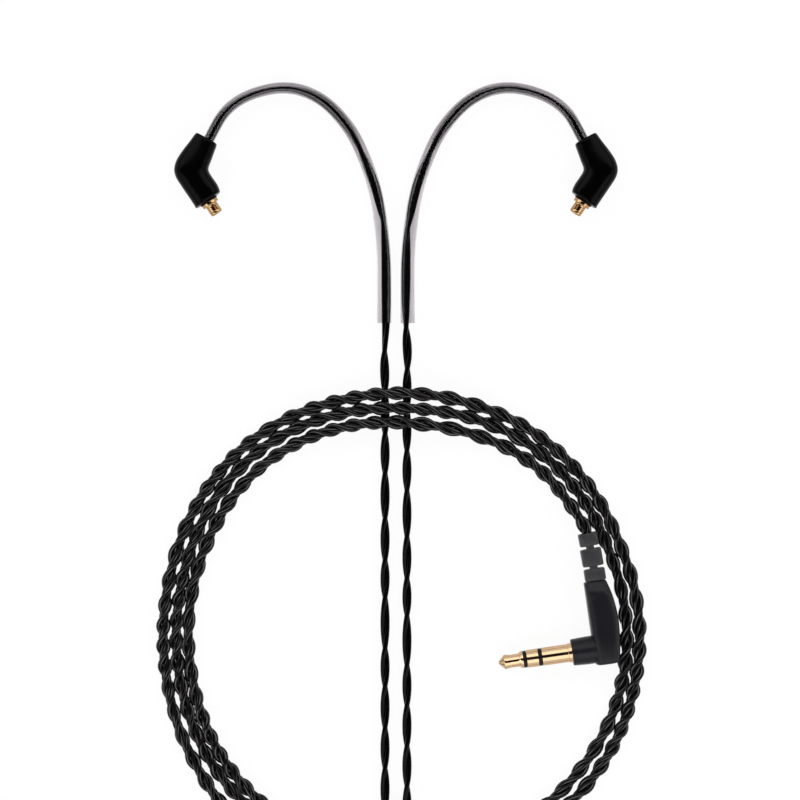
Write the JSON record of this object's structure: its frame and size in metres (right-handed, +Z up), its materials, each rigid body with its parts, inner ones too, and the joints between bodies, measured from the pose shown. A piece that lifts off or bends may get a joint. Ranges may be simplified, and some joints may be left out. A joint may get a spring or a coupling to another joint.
{
  "type": "in-ear monitor cable",
  "caption": "Detachable cable for in-ear monitors: clear ear hooks, push-on coaxial connectors, chin slider, split and a coiled braided lead ending in a right-angle stereo plug.",
  "frame": {"origin": "on the table, midway between the two ear hooks and midway along them, bottom centre of the rigid ear pieces", "axes": "+Z up from the table the cable lies on, +X across from the left ear's side of the picture to the right, +Y up the picture, from the coil to the ear hooks"},
  "size_m": [0.0957, 0.1838, 0.0065],
  "materials": {
    "housing_black": "gloss",
    "plug_black": "matte",
    "insulator_black": "satin",
    "relief_grey": "matte",
    "wire_black": "gloss",
    "hook_clear": "clear",
    "gold_plating": "gold plated",
    "insulator_white": "satin"
  },
  "bodies": {
    "cable": {"left_connector_housing": "housing_black", "left_coax_shell": "gold_plating", "left_coax_insulator": "insulator_white", "left_coax_pin": "gold_plating", "left_snap_ring": "gold_plating", "left_ear_hook": "hook_clear", "left_leg": "wire_black", "left_leg_tail": "wire_black", "right_connector_housing": "housing_black", "right_coax_shell": "gold_plating", "right_coax_insulator": "insulator_white", "right_coax_pin": "gold_plating", "right_snap_ring": "gold_plating", "right_ear_hook": "hook_clear", "right_leg": "wire_black", "right_leg_tail": "wire_black", "plug_tip": "gold_plating", "plug_front_insulator": "insulator_black", "plug_ring": "gold_plating", "plug_rear_insulator": "insulator_black", "plug_sleeve": "gold_plating", "plug_body": "plug_black", "plug_strain_relief": "relief_grey", "main_cable": "wire_black", "split_barrel": "insulator_black", "leg_coil": "wire_black"},
    "slider": {"chin_slider": "insulator_black"}
  },
  "joints": [
    {"name": "chin_slide", "type": "slide", "parent": "cable", "child": "slider", "axis": [0, 1, 0], "range_m": [0, 0.07]}
  ]
}
